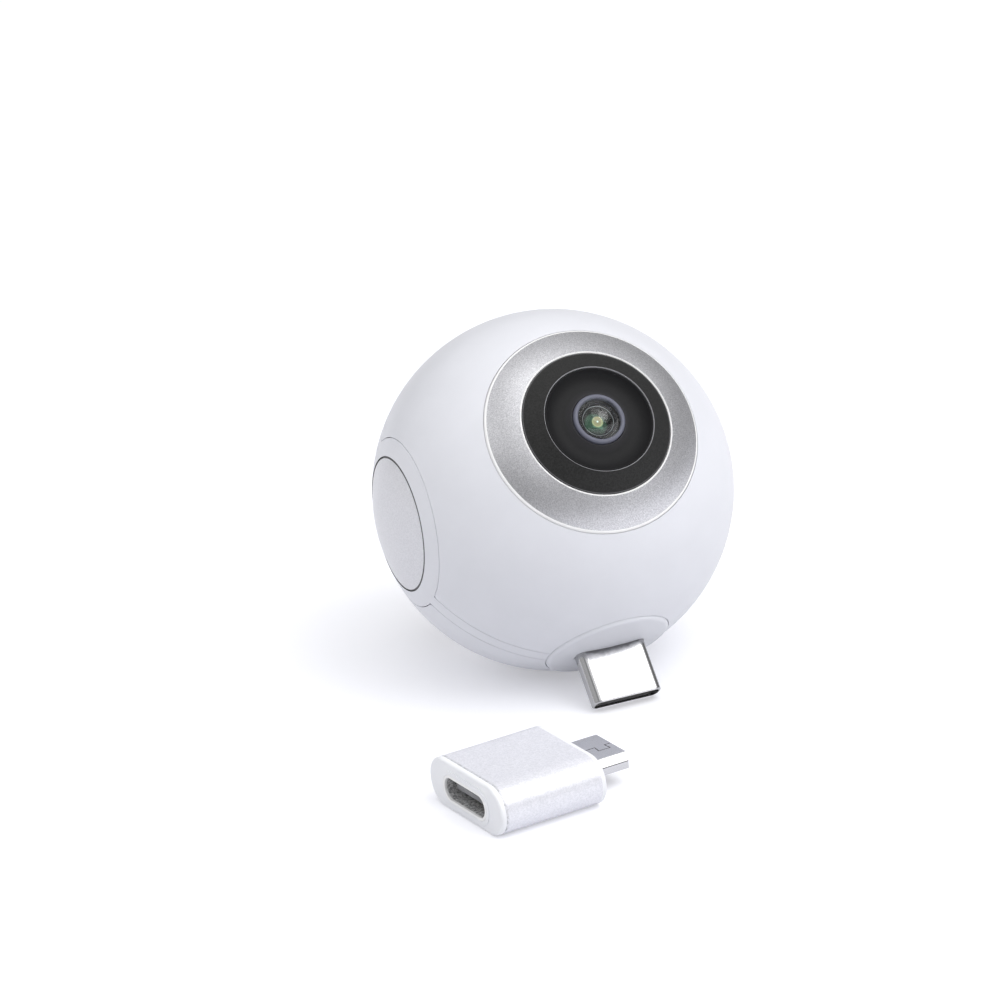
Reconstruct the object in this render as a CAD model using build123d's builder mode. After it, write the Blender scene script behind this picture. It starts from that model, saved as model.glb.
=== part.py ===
from build123d import *
import os
from math import acos, atan2, cos, degrees, hypot, radians, sin, sqrt

# Ball: two shells and a narrow band between them
ball_diameter = 41.0
shell_wall = 1.5
band_width = 1.85
seam_gap = 0.08
flange_width = 4.4
flange_depth = 2.2
flange_clearance = 0.2
ledge_depth = 1.7
ledge_thickness = 1.2
corner_fillet = 0.4

# Plug that the ball stands on and plugs in with
usb_c_width = 8.25
usb_c_height = 2.40
usb_c_corner = 0.95
usb_c_wall = 0.25
usb_c_tip_fillet = 0.18
plug_length = 5.5
plug_clearance = 0.03
insulator_drop = 2.9
insulator_recess = 0.4
tongue_slot_width = 6.8
tongue_slot_height = 0.9
tongue_slot_floor = 2.2
contact_count = 12
contact_pitch = 0.5
contact_width = 0.26
contact_thickness = 0.12
contact_recess = 0.8
contact_root_gap = 0.4

# Round pad that the plug comes out of
boot_radius = 7.23
boot_crown_drop = 0.45
boot_dome_radius = 46.0
boot_rim_fillet = 0.55
boot_flange_rim = 0.67
boot_flange_drop = 3.7
boot_flange_thickness = 0.9

# Button, its round frame in the band, and the switch under it
island_radius = 9.65
island_rim = 1.91
button_gap = 0.16
button_inset = 0.22
button_wall = 1.3
button_edge_fillet = 0.2
button_lip_drop = 3.3
button_flange_rim = 0.54
button_flange_thickness = 0.35
button_flange_gap = 0.05
skirt_wall = 0.7
wide_bore_rim = 0.56
shelf_drop = 5.4
shelf_thickness = 0.8
shelf_width = 2.5
stem_radius = 1.2
switch_width = 5.2
switch_height = 1.15
switch_floor = 0.1
switch_cover = 0.2
plunger_radius = 0.9
plunger_collar_radius = 1.2
plunger_collar_height = 0.25
plunger_gap = 0.07
plunger_drop = 3.05
board_thickness = 0.8
board_clearance = 0.1

# Silver ring round each lens
bezel_radius = 12.2
bezel_width = 3.7
bezel_thickness = 0.8
bezel_proud = 0.08
bezel_edge = 0.12
bezel_gap = 0.06

# Black ring inside the silver one
surround_width = 2.3
surround_drop = 0.56
surround_edge = 0.07
surround_gap = 0.05

# Dish that the lens stands in
dish_seat_width = 0.9
dish_flange_thickness = 0.6
dish_gap = 0.08
dish_rim_width = 0.1
dish_rim_drop = 0.12
dish_bowl_depth = 0.95
dish_lip_drop = 0.32
dish_lip_width = 0.1
dish_foot_edge = 0.8

# Lens: barrel, front ring and glass, measured down from the ball's surface
neck_radius = 2.95
neck_gap = 0.08
ring_drop = 0.53
ring_height = 0.77
ring_width = 0.5
ring_crown = 0.08
ring_slope = 0.14
barrel_foot_gap = 0.4
barrel_radius = 3.3
shoulder_foot_drop = 7.9
shoulder_radius = 4.3
shoulder_drop = 2.65
tail_bore_radius = 1.3
inner_lens_drop = 6.1
inner_bore_radius = 1.6
stop_drop = 3.5
middle_bore_radius = 2.0
dome_drop = 1.6
dome_bore_wall = 0.5
lens_clearance = 0.03
dome_edge_drop = 0.45
dome_front_radius = 2.9
dome_back_radius = 2.3
dome_back_mouth = 2.1
stop_thickness = 0.2
stop_hole_radius = 0.75
middle_lens_edge = 1.3
middle_lens_rise = 0.6
inner_lens_edge = 0.7
inner_lens_rise = 0.85

# Lens holder, sensor and boards
plate_thickness = 1.0
plate_gap = 0.5
sensor_board_width = 14.0
holder_width = 10.0
holder_cavity_width = 7.6
holder_base_height = 3.0
holder_roof = 0.8
holder_tube_radius = 4.5
holder_tube_gap = 0.8
thread_clearance = 0.05
sensor_width = 6.4
sensor_height = 0.9
filter_width = 7.3
filter_thickness = 0.3

# Posts and screws that carry the shells
post_count = 3
post_radius = 1.5
boss_radius = 1.75
boss_grip = 2.0
boss_head_rise = 2.2
screw_head_room = 0.39
counterbore_radius = 1.15
shell_screw_head_radius = 1.0
shell_screw_head_height = 0.5
shell_screw_radius = 0.6
shell_screw_length = 4.6
screw_clearance = 0.08

# Small screws of the frame and boards, all alike
screw_head_radius = 0.9
screw_head_height = 0.4
screw_radius = 0.55
screw_length = 1.6
frame_screw_edge = 0.85
frame_screw_count = 4
board_screw_edge = 0.95
sensor_screw_edge = 1.0
button_screw_edge = 1.2

# Main board and what stands on it
tab_length = 2.1
tab_width = 7.0
tab_gap = 0.1
can_width = 12.0
can_height = 1.5
can_wall = 0.2
processor_width = 9.0
processor_height = 1.0
memory_length = 8.0
memory_width = 6.0
power_chip_width = 4.0
chip_height = 1.0
memory_place = 4.5
power_chip_place = 5.5
connector_length = 6.0
connector_width = 1.7
connector_height = 0.8
board_connector_edge = 5.37
sensor_connector_edge = 1.05
flex_width = 5.0
flex_thickness = 0.14
flex_overhang = 2.3
flex_bend = 0.5
flex_slot_length = 6.6
flex_slot_width = 1.3
button_flex_width = 3.0
button_flex_length = 4.1
button_flex_climb = 3.4

# Adapter that lies beside the ball
adapter_x = -20.85
adapter_y = -35.0
adapter_turn = 8.0
adapter_length = 13.1
adapter_width = 15.1
adapter_height = 5.6
adapter_wall = 1.0
cap_thickness = 0.6
cap_edge = 0.3
cap_plug_depth = 1.2
cap_clearance = 0.03
receptacle_width = 8.94
receptacle_height = 3.16
receptacle_wall = 0.3
receptacle_depth = 7.0
receptacle_drop = 0.15
receptacle_lip = 0.5
receptacle_lip_height = 0.1
tongue_width = 6.69
tongue_thickness = 0.7
tongue_recess = 0.9
tongue_base = 1.4
tongue_contact_thickness = 0.06
tongue_contact_length = 3.4
adapter_board_width = 12.0
adapter_board_length = 4.1

# Small plug of the adapter, with its narrow side up
micro_reach = 5.25
micro_width = 6.85
micro_top_width = 5.9
micro_height = 1.8
micro_side_height = 0.85
micro_foot = 1.9
micro_wall = 0.25
micro_tail = 1.95
micro_core_recess = 0.3
fold_width = 0.1
fold_depth = 0.06
fold_tab_start = 3.2
fold_tab_end = 4.4
fold_tab_step = 1.0
fold_tab_flare = 0.12
micro_slot_width = 4.4
micro_slot_height = 0.62
micro_slot_depth = 4.4
micro_contact_count = 5
micro_contact_pitch = 0.65
micro_contact_width = 0.4
micro_contact_thickness = 0.1
micro_contact_length = 3.4
latch_place = 2.75
latch_width = 0.4
latch_thickness = 0.2
latch_length = 3.6
latch_tip_gap = 1.2
latch_channel_height = 0.65
latch_gap = 0.08
barb_length = 0.8
barb_height = 0.2

overrun = 1.0

# How the ball lies: its shell and the lower edge of the plug's tip touch the table
ball_radius = ball_diameter / 2
inner_radius = ball_radius - shell_wall
plug_reach = ball_radius + plug_length
lie_tilt = atan2(usb_c_height / 2, plug_reach) + acos(ball_radius / hypot(plug_reach, usb_c_height / 2))
centre = Vector(0, 0, ball_radius)
button_dir = Vector(-1, 0, 0)
lens_dir = Vector(0, -cos(lie_tilt), sin(lie_tilt))
plug_dir = Vector(0, -sin(lie_tilt), -cos(lie_tilt))
lens_axis = Axis(centre, lens_dir)
button_axis = Axis(centre, button_dir)
plug_axis = Axis(centre, plug_dir)

# Heights and radii that follow from the sizes above
band_half = band_width / 2
flange_half = flange_width / 2
board_half = board_thickness / 2
flange_radius = sqrt(inner_radius**2 - flange_half**2) - flange_clearance
flange_inner_radius = flange_radius - flange_depth
ledge_radius = flange_inner_radius - ledge_depth
bezel_inner_radius = bezel_radius - bezel_width
opening_radius = bezel_inner_radius - dish_seat_width
surround_inner_radius = bezel_inner_radius - surround_width
seat_sphere = ball_radius + bezel_proud - bezel_thickness
surround_seat = sqrt(seat_sphere**2 - bezel_inner_radius**2)
surround_top = ball_radius - surround_drop
ring_top = ball_radius - ring_drop
ring_bore_radius = neck_radius - ring_width
neck_top = ring_top - ring_height
shoulder_foot = ball_radius - shoulder_foot_drop
shoulder_top = ball_radius - shoulder_drop
inner_lens_seat = ball_radius - inner_lens_drop
stop_seat = ball_radius - stop_drop
dome_seat = ball_radius - dome_drop
dome_bore_radius = neck_radius - dome_bore_wall
dome_edge_top = ball_radius - dome_edge_drop
post_circle_radius = (bezel_radius + bezel_inner_radius) / 2
counterbore_edge_radius = post_circle_radius + counterbore_radius
counterbore_seat = sqrt(seat_sphere**2 - counterbore_edge_radius**2)
counterbore_floor = counterbore_seat - shell_screw_head_height - screw_head_room
boss_foot = counterbore_floor - boss_grip
boss_head = counterbore_floor + boss_head_rise
button_bore_radius = island_radius - island_rim
wide_bore_radius = button_bore_radius + wide_bore_rim
button_sphere = ball_radius - button_inset
button_radius = button_bore_radius - button_gap
button_flange_radius = button_radius + button_flange_rim
button_lip_foot = ball_radius - button_lip_drop
shelf_top = ball_radius - shelf_drop
shelf_inner_radius = wide_bore_radius - shelf_width
plunger_top = ball_radius - plunger_drop
boot_crown = ball_radius - boot_crown_drop
boot_flange_top = ball_radius - boot_flange_drop
boot_flange_foot = boot_flange_top - boot_flange_thickness
boot_flange_radius = boot_radius + boot_flange_rim
plug_tail = boot_flange_foot
island_clearance = island_radius + seam_gap
boot_clearance = boot_radius + seam_gap
island_foot = shelf_top - shelf_thickness
plate_foot = flange_half
plate_top = plate_foot + plate_thickness
sensor_face = plate_top + board_thickness
plate_radius = sqrt(inner_radius**2 - plate_top**2) - plate_gap
holder_base_top = sensor_face + holder_base_height
holder_tube_height = shoulder_foot - holder_tube_gap - holder_base_top
barrel_foot = holder_base_top + barrel_foot_gap
switch_foot = shelf_top + board_thickness
insulator_tip = plug_reach - insulator_recess
screw_hole_radius = screw_radius + screw_clearance
frame_screw_circle_radius = plate_radius - frame_screw_edge
board_screw_circle_radius = flange_inner_radius - board_screw_edge
sensor_screw_place = sensor_board_width / 2 - sensor_screw_edge
button_screw_place = wide_bore_radius - board_clearance - button_screw_edge
insulator_foot = ball_radius - insulator_drop
tongue_slot_depth = insulator_tip - insulator_foot - tongue_slot_floor
contact_length = tongue_slot_depth - contact_recess - contact_root_gap
tab_reach = insulator_foot - tab_gap
board_chord = tab_reach - tab_length
sensor_connector_place = sensor_board_width / 2 - sensor_connector_edge
flex_drop_place = sensor_board_width / 2 + flex_overhang
board_connector_place = flange_inner_radius - board_clearance - board_connector_edge
micro_start = adapter_length / 2 - micro_tail
micro_tip = adapter_length / 2 + micro_reach
receptacle_mouth = -adapter_length / 2
receptacle_rear = receptacle_mouth + receptacle_depth
receptacle_centre = adapter_height / 2 - receptacle_drop


def rise(radius, sphere=ball_radius):
    """Height above its centre at which a sphere has this distance from its axis."""
    return sqrt(sphere**2 - radius**2)


def sphere_arc(start, end, sphere=ball_radius):
    """Outline of a sphere about the ball's centre between two distances from the axis."""
    middle = (start + end) / 2
    return ThreePointArc((start, rise(start, sphere)), (middle, rise(middle, sphere)), (end, rise(end, sphere)))


def cap_arc(edge_radius, edge_height, tip_height):
    """Outline of a domed or hollowed end, from its rim to its tip on the axis."""
    sagitta = tip_height - edge_height
    curve = (edge_radius**2 + sagitta**2) / (2 * abs(sagitta))
    middle = edge_radius / 2
    lift = sqrt(curve**2 - middle**2) - sqrt(curve**2 - edge_radius**2)
    lift = lift if sagitta > 0 else -lift
    return ThreePointArc((edge_radius, edge_height), (middle, edge_height + lift), (0, tip_height))


def across(direction, width_dir, height=0):
    """Sketch plane square to an axis of the ball, at a height above its centre."""
    return Plane(origin=centre + direction * height, x_dir=width_dir, z_dir=direction)


def beside(direction, width_dir):
    """Outline plane that holds an axis: x is the distance from it and y the height along it."""
    return Plane(origin=centre, x_dir=width_dir, z_dir=width_dir.cross(direction))


def lens_face(side, height):
    """Sketch plane square to the lens axis, on the front (1) or the rear (-1) side."""
    return across(lens_dir * side, button_dir * side, height)


def lens_outline(side):
    return beside(lens_dir * side, button_dir)


button_outline = beside(button_dir, plug_dir)
plug_outline = beside(plug_dir, button_dir)
lens_section = Plane(origin=centre, x_dir=plug_dir, z_dir=plug_dir.cross(lens_dir))
button_section = Plane(origin=centre, x_dir=button_dir, z_dir=button_dir.cross(lens_dir))


def outer_rims(piece):
    """Full circles of a turned piece, the furthest from the ball's centre first."""
    rims = piece.edges().filter_by(lambda edge: edge.is_closed)
    return rims.sort_by(lambda rim: -(rim.position_at(0) - centre).length)


def write(piece, label):
    """Labels a finished piece and writes its file."""
    piece.part.label = label
    export_step(piece.part, f"parts/{label}.step")


# Clearances that the button's frame and the plug's pad need in the pieces round them
with BuildPart() as island_space:
    with BuildSketch(across(button_dir, plug_dir, island_foot - board_clearance)):
        Circle(island_clearance)
    extrude(amount=ball_radius)

with BuildPart() as boot_space:
    with BuildSketch(across(plug_dir, button_dir, boot_flange_top + board_clearance)):
        Circle(boot_clearance)
    extrude(amount=ball_radius)
    with BuildSketch(across(plug_dir, button_dir, boot_flange_foot - board_clearance)):
        Circle(boot_flange_radius + board_clearance)
    extrude(amount=boot_flange_thickness + 2 * board_clearance)
    with BuildSketch(across(plug_dir, button_dir, boot_flange_foot)):
        Rectangle(usb_c_width + 2 * board_clearance, usb_c_height + 2 * board_clearance)
    extrude(amount=board_chord - boot_flange_foot)


def shell(side):
    """Half of the ball: a spherical wall with a seat for the rings and three screw bosses."""
    seam = band_half + seam_gap
    with BuildPart() as half:
        with BuildSketch(lens_outline(side)):
            with BuildLine():
                sphere_arc(rise(seam), 0)
                Line((0, ball_radius), (0, inner_radius))
                sphere_arc(0, rise(seam, inner_radius), inner_radius)
                Line((rise(seam, inner_radius), seam), (rise(seam), seam))
            make_face()
        revolve(axis=lens_axis)
        with BuildSketch(lens_face(side, boss_foot)):
            with PolarLocations(post_circle_radius, post_count, start_angle=90):
                Circle(boss_radius)
        extrude(amount=boss_head - boss_foot)
        with BuildSketch(lens_outline(side)):
            with BuildLine():
                pocket_radius = bezel_radius + bezel_gap
                Polyline(
                    (bezel_inner_radius, surround_seat),
                    (opening_radius, surround_seat),
                    (opening_radius, boss_foot),
                    (0, boss_foot),
                    (0, ball_radius + overrun),
                    (pocket_radius, ball_radius + overrun),
                    (pocket_radius, rise(pocket_radius, seat_sphere)),
                )
                sphere_arc(pocket_radius, bezel_inner_radius, seat_sphere)
            make_face()
        revolve(axis=lens_axis, mode=Mode.SUBTRACT)
        with BuildSketch(lens_face(side, counterbore_floor)):
            with PolarLocations(post_circle_radius, post_count, start_angle=90):
                Circle(counterbore_radius)
        extrude(amount=ball_radius - counterbore_floor, mode=Mode.SUBTRACT)
        with BuildSketch(lens_face(side, counterbore_floor)):
            with PolarLocations(post_circle_radius, post_count, start_angle=90):
                Circle(shell_screw_radius + screw_clearance)
        extrude(amount=-ball_radius, mode=Mode.SUBTRACT)
        add(island_space.part, mode=Mode.SUBTRACT)
        add(boot_space.part, mode=Mode.SUBTRACT)
        fillet(half.edges().filter_by(Axis.X).filter_by(GeomType.LINE), radius=corner_fillet)
    return half


def band():
    """Ring between the shells, with a flange inside them and the button's round frame."""
    with BuildPart() as ring:
        with BuildSketch(lens_outline(1)):
            with BuildLine():
                ThreePointArc((rise(band_half), band_half), (ball_radius, 0), (rise(band_half), -band_half))
                Polyline(
                    (rise(band_half), -band_half),
                    (flange_radius, -band_half),
                    (flange_radius, -flange_half),
                    (flange_inner_radius, -flange_half),
                    (flange_inner_radius, -board_half - ledge_thickness),
                    (ledge_radius, -board_half - ledge_thickness),
                    (ledge_radius, -board_half),
                    (flange_inner_radius, -board_half),
                    (flange_inner_radius, flange_half),
                    (flange_radius, flange_half),
                    (flange_radius, band_half),
                    (rise(band_half), band_half),
                )
            make_face()
        revolve(axis=lens_axis)
        with BuildSketch(across(button_dir, plug_dir, island_foot - overrun)):
            Circle(wide_bore_radius)
        extrude(amount=ball_radius, mode=Mode.SUBTRACT)
        with BuildSketch(button_outline):
            with BuildLine():
                sphere_arc(button_bore_radius, island_radius)
                Polyline(
                    (island_radius, rise(island_radius)),
                    (island_radius, island_foot),
                    (shelf_inner_radius, island_foot),
                    (shelf_inner_radius, shelf_top),
                    (wide_bore_radius, shelf_top),
                    (wide_bore_radius, button_lip_foot),
                    (button_bore_radius, button_lip_foot),
                    (button_bore_radius, rise(button_bore_radius)),
                )
            make_face()
        revolve(axis=button_axis)
        add(boot_space.part, mode=Mode.SUBTRACT)
        for side in (1, -1):
            with BuildSketch(lens_face(side, flange_half)):
                with PolarLocations(frame_screw_circle_radius, frame_screw_count, start_angle=45):
                    Circle(screw_hole_radius)
            extrude(amount=plate_thickness - screw_length - screw_clearance, mode=Mode.SUBTRACT)
        with BuildSketch(lens_face(1, board_half)):
            with PolarLocations(board_screw_circle_radius, frame_screw_count, start_angle=45):
                Circle(screw_hole_radius)
        extrude(amount=-board_thickness - ledge_thickness, mode=Mode.SUBTRACT)
        with BuildSketch(across(button_dir, plug_dir, shelf_top)):
            with Locations((button_screw_place, 0), (-button_screw_place, 0)):
                Circle(screw_hole_radius)
        extrude(amount=-shelf_thickness, mode=Mode.SUBTRACT)
    return ring


def bezel_ring(side):
    """Silver ring, a slice of a sphere that stands a little proud of the shell."""
    top_sphere = ball_radius + bezel_proud
    with BuildPart() as ring:
        with BuildSketch(lens_outline(side)):
            with BuildLine():
                sphere_arc(bezel_inner_radius, bezel_radius, top_sphere)
                Line((bezel_radius, rise(bezel_radius, top_sphere)), (bezel_radius, rise(bezel_radius, seat_sphere)))
                sphere_arc(bezel_radius, bezel_inner_radius, seat_sphere)
                Line((bezel_inner_radius, surround_seat), (bezel_inner_radius, rise(bezel_inner_radius, top_sphere)))
            make_face()
        revolve(axis=lens_axis)
        chamfer(outer_rims(ring)[0:2], length=bezel_edge)
    return ring


def surround_ring(side):
    """Black conical ring between the silver ring and the dish."""
    outer_radius = bezel_inner_radius - surround_gap
    with BuildPart() as ring:
        with BuildSketch(lens_outline(side)):
            with BuildLine():
                Polyline(
                    (outer_radius, surround_seat),
                    (outer_radius, rise(outer_radius)),
                    (surround_inner_radius + surround_edge, surround_top),
                    (surround_inner_radius, surround_top - surround_edge),
                    (surround_inner_radius, surround_seat),
                    close=True,
                )
            make_face()
        revolve(axis=lens_axis)
    return ring


def lens_dish(side):
    """Dark round bowl that the lens stands in, glued up under the black ring."""
    wall_radius = surround_inner_radius - dish_gap
    hole_radius = neck_radius + neck_gap
    bowl_outer = (wall_radius - dish_rim_width, surround_top - dish_rim_drop)
    bowl_inner = (hole_radius + dish_lip_width, ring_top - dish_lip_drop)
    bowl_bottom = ((bowl_outer[0] + bowl_inner[0]) / 2, surround_top - dish_bowl_depth)
    with BuildPart() as dish:
        with BuildSketch(lens_outline(side)):
            with BuildLine():
                ThreePointArc(bowl_outer, bowl_bottom, bowl_inner)
                Polyline(
                    bowl_inner,
                    (hole_radius, ring_top - dish_lip_drop),
                    (hole_radius, shoulder_top + dish_gap),
                    (shoulder_radius + dish_gap, shoulder_top + dish_gap),
                    (wall_radius - dish_foot_edge, surround_seat - dish_flange_thickness),
                    (opening_radius - dish_gap, surround_seat - dish_flange_thickness),
                    (opening_radius - dish_gap, surround_seat),
                    (wall_radius, surround_seat),
                    (wall_radius, surround_top - dish_rim_drop),
                    bowl_outer,
                )
            make_face()
        revolve(axis=lens_axis)
    return dish


def lens_barrel(side):
    """Barrel with a step for each glass, wider under the dish and slim where it screws in."""
    with BuildPart() as barrel:
        with BuildSketch(lens_outline(side)):
            with BuildLine():
                Polyline(
                    (tail_bore_radius, barrel_foot),
                    (barrel_radius, barrel_foot),
                    (barrel_radius, shoulder_foot),
                    (shoulder_radius, shoulder_foot),
                    (shoulder_radius, shoulder_top),
                    (neck_radius, shoulder_top),
                    (neck_radius, neck_top),
                    (dome_bore_radius, neck_top),
                    (dome_bore_radius, dome_seat),
                    (middle_bore_radius, dome_seat),
                    (middle_bore_radius, stop_seat),
                    (inner_bore_radius, stop_seat),
                    (inner_bore_radius, inner_lens_seat),
                    (tail_bore_radius, inner_lens_seat),
                    close=True,
                )
            make_face()
        revolve(axis=lens_axis)
    return barrel


def retaining_ring(side):
    """Ring with a rounded lip that holds the front glass in the barrel's neck."""
    with BuildPart() as ring:
        with BuildSketch(lens_outline(side)):
            with BuildLine():
                ThreePointArc(
                    (neck_radius, ring_top - ring_slope),
                    (neck_radius - ring_width / 2, ring_top + ring_crown),
                    (ring_bore_radius, ring_top),
                )
                Polyline(
                    (ring_bore_radius, ring_top),
                    (ring_bore_radius, neck_top),
                    (neck_radius, neck_top),
                    (neck_radius, ring_top - ring_slope),
                )
            make_face()
        revolve(axis=lens_axis)
    return ring


def dome_glass(side):
    """Front glass: a strongly domed face with a deep hollow behind it."""
    edge_radius = ring_bore_radius - lens_clearance
    front_tip = dome_edge_top + dome_front_radius - rise(edge_radius, dome_front_radius)
    back_tip = dome_seat + dome_back_radius - rise(dome_back_mouth, dome_back_radius)
    with BuildPart() as glass:
        with BuildSketch(lens_outline(side)):
            with BuildLine():
                cap_arc(edge_radius, dome_edge_top, front_tip)
                Line((0, front_tip), (0, back_tip))
                cap_arc(dome_back_mouth, dome_seat, back_tip)
                Polyline((dome_back_mouth, dome_seat), (edge_radius, dome_seat), (edge_radius, dome_edge_top))
            make_face()
        revolve(axis=lens_axis)
    return glass


def plain_lens(side, radius, seat, edge, lens_rise):
    """Lens with a flat back and a domed front."""
    with BuildPart() as glass:
        with BuildSketch(lens_outline(side)):
            with BuildLine():
                cap_arc(radius, seat + edge, seat + edge + lens_rise)
                Polyline((0, seat + edge + lens_rise), (0, seat), (radius, seat), (radius, seat + edge))
            make_face()
        revolve(axis=lens_axis)
    return glass


def aperture_stop(side):
    with BuildPart() as stop:
        with BuildSketch(lens_face(side, stop_seat)):
            Circle(middle_bore_radius - lens_clearance)
            Circle(stop_hole_radius, mode=Mode.SUBTRACT)
        extrude(amount=stop_thickness)
    return stop


def lens_holder(side):
    """Square foot over the sensor with a tube that the barrel screws into."""
    bore_radius = barrel_radius + thread_clearance
    with BuildPart() as holder:
        with BuildSketch(lens_face(side, sensor_face)):
            Rectangle(holder_width, holder_width)
        extrude(amount=holder_base_height)
        with BuildSketch(lens_face(side, holder_base_top)):
            Circle(holder_tube_radius)
        extrude(amount=holder_tube_height)
        with BuildSketch(lens_face(side, sensor_face)):
            Rectangle(holder_cavity_width, holder_cavity_width)
        extrude(amount=holder_base_height - holder_roof, mode=Mode.SUBTRACT)
        with BuildSketch(lens_face(side, sensor_face)):
            Circle(bore_radius)
        extrude(amount=holder_base_height + holder_tube_height, mode=Mode.SUBTRACT)
    return holder


def infrared_filter(side):
    with BuildPart() as pane:
        with BuildSketch(lens_face(side, holder_base_top - holder_roof)):
            Rectangle(filter_width, filter_width)
        extrude(amount=-filter_thickness)
    return pane


def image_sensor(side):
    with BuildPart() as sensor:
        with BuildSketch(lens_face(side, sensor_face)):
            Rectangle(sensor_width, sensor_width)
        extrude(amount=sensor_height)
    return sensor


def sensor_board(side):
    with BuildPart() as board:
        with BuildSketch(lens_face(side, plate_top)):
            Rectangle(sensor_board_width, sensor_board_width)
            with Locations(*sensor_screw_places):
                Circle(screw_hole_radius, mode=Mode.SUBTRACT)
            with PolarLocations(post_circle_radius, post_count, start_angle=90):
                Circle(post_radius + board_clearance, mode=Mode.SUBTRACT)
        extrude(amount=board_thickness)
    return board


def sensor_bracket(side):
    """Plate that closes the band's flange, carries the sensor and spreads its heat."""
    with BuildPart() as bracket:
        with BuildSketch(lens_face(side, plate_foot)):
            Circle(plate_radius)
            with PolarLocations(frame_screw_circle_radius, frame_screw_count, start_angle=45):
                Circle(screw_hole_radius, mode=Mode.SUBTRACT)
            with Locations(*sensor_screw_places):
                Circle(screw_hole_radius, mode=Mode.SUBTRACT)
            with Locations((0, -flex_drop_place)):
                SlotOverall(flex_slot_length, flex_slot_width, mode=Mode.SUBTRACT)
            with Locations((0, boot_flange_foot - board_clearance)):
                Rectangle(ball_diameter, ball_radius, align=(Align.CENTER, Align.MIN), mode=Mode.SUBTRACT)
        extrude(amount=plate_thickness)
        with BuildSketch(lens_face(side, plate_top)):
            with PolarLocations(post_circle_radius, post_count, start_angle=90):
                Circle(post_radius)
        extrude(amount=boss_foot - plate_top)
        with BuildSketch(lens_face(side, boss_foot)):
            with PolarLocations(post_circle_radius, post_count, start_angle=90):
                Circle(shell_screw_radius + screw_clearance)
        extrude(amount=counterbore_floor - boss_foot - shell_screw_length, mode=Mode.SUBTRACT)
        add(island_space.part, mode=Mode.SUBTRACT)
    return bracket


def sensor_flex(side):
    """Flat cable from the sensor board down through the bracket to the main board."""
    upper = sensor_face + connector_height + flex_thickness / 2
    lower = board_half + connector_height + flex_thickness / 2
    inner_end = -sensor_connector_place + connector_width / 2
    outer_end = -board_connector_place - connector_width / 2
    route = [(inner_end, upper), (-flex_drop_place, upper), (-flex_drop_place, lower), (outer_end, lower)]
    route = [(place, height * side) for place, height in route]
    with BuildPart() as flex:
        with BuildSketch(lens_section):
            with BuildLine():
                FilletPolyline(*route, radius=flex_bend)
            trace(line_width=flex_thickness)
        extrude(amount=flex_width / 2, both=True)
    return flex


sensor_screw_places = [(sensor_screw_place, sensor_screw_place), (-sensor_screw_place, -sensor_screw_place)]


def main_board():
    """Round board on the band's ledge, with a tab that runs into the plug."""
    with BuildPart() as board:
        with BuildSketch(lens_face(1, -board_half)):
            Circle(flange_inner_radius - board_clearance)
            with Locations((0, board_chord)):
                Rectangle(ball_diameter, ball_radius, align=(Align.CENTER, Align.MIN), mode=Mode.SUBTRACT)
            with Locations((0, board_chord)):
                Rectangle(tab_width, tab_reach - board_chord, align=(Align.CENTER, Align.MIN))
            with PolarLocations(board_screw_circle_radius, frame_screw_count, start_angle=45):
                Circle(screw_hole_radius, mode=Mode.SUBTRACT)
        extrude(amount=board_thickness)
        add(island_space.part, mode=Mode.SUBTRACT)
    return board


def shield_can():
    with BuildPart() as can:
        with BuildSketch(lens_face(1, board_half)):
            Rectangle(can_width, can_width)
        extrude(amount=can_height)
        with BuildSketch(lens_face(1, board_half)):
            Rectangle(can_width - 2 * can_wall, can_width - 2 * can_wall)
        extrude(amount=can_height - can_wall, mode=Mode.SUBTRACT)
    return can


def board_chips():
    """Processor under the can, and memory and power chips on the other face."""
    with BuildPart() as chips:
        with BuildSketch(lens_face(1, board_half)):
            Rectangle(processor_width, processor_width)
        extrude(amount=processor_height)
        with BuildSketch(lens_face(-1, board_half)):
            with Locations((-memory_place, 0)):
                Rectangle(memory_length, memory_width)
            with Locations((power_chip_place, 0)):
                Rectangle(power_chip_width, power_chip_width)
        extrude(amount=chip_height)
    return chips


def board_connectors():
    """Sockets that the flat cables press into, two on the main board and one on each sensor board."""
    with BuildPart() as sockets:
        for side in (1, -1):
            with BuildSketch(lens_face(side, board_half)):
                with Locations((0, -board_connector_place)):
                    Rectangle(connector_length, connector_width)
            extrude(amount=connector_height)
            with BuildSketch(lens_face(side, sensor_face)):
                with Locations((0, -sensor_connector_place)):
                    Rectangle(connector_length, connector_width)
            extrude(amount=connector_height)
    return sockets


def frame_screws():
    """Small screws, all alike: eight in the brackets, four each in the boards, two by the switch."""
    heads = []
    for side in (1, -1):
        with BuildSketch(lens_face(side, plate_top)) as bracket_places:
            with PolarLocations(frame_screw_circle_radius, frame_screw_count, start_angle=45):
                Circle(screw_radius)
        with BuildSketch(lens_face(side, sensor_face)) as sensor_places:
            with Locations(*sensor_screw_places):
                Circle(screw_radius)
        heads += [bracket_places, sensor_places]
    with BuildSketch(lens_face(1, board_half)) as board_places:
        with PolarLocations(board_screw_circle_radius, frame_screw_count, start_angle=45):
            Circle(screw_radius)
    with BuildSketch(across(button_dir, plug_dir, switch_foot)) as switch_places:
        with Locations((button_screw_place, 0), (-button_screw_place, 0)):
            Circle(screw_radius)
    heads += [board_places, switch_places]
    with BuildPart() as screws:
        for places in heads:
            for face in places.sketch.faces():
                extrude(face, amount=-screw_length)
                with BuildSketch(Plane(origin=face.center(), z_dir=face.normal_at())):
                    Circle(screw_head_radius)
                extrude(amount=screw_head_height)
    return screws


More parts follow.
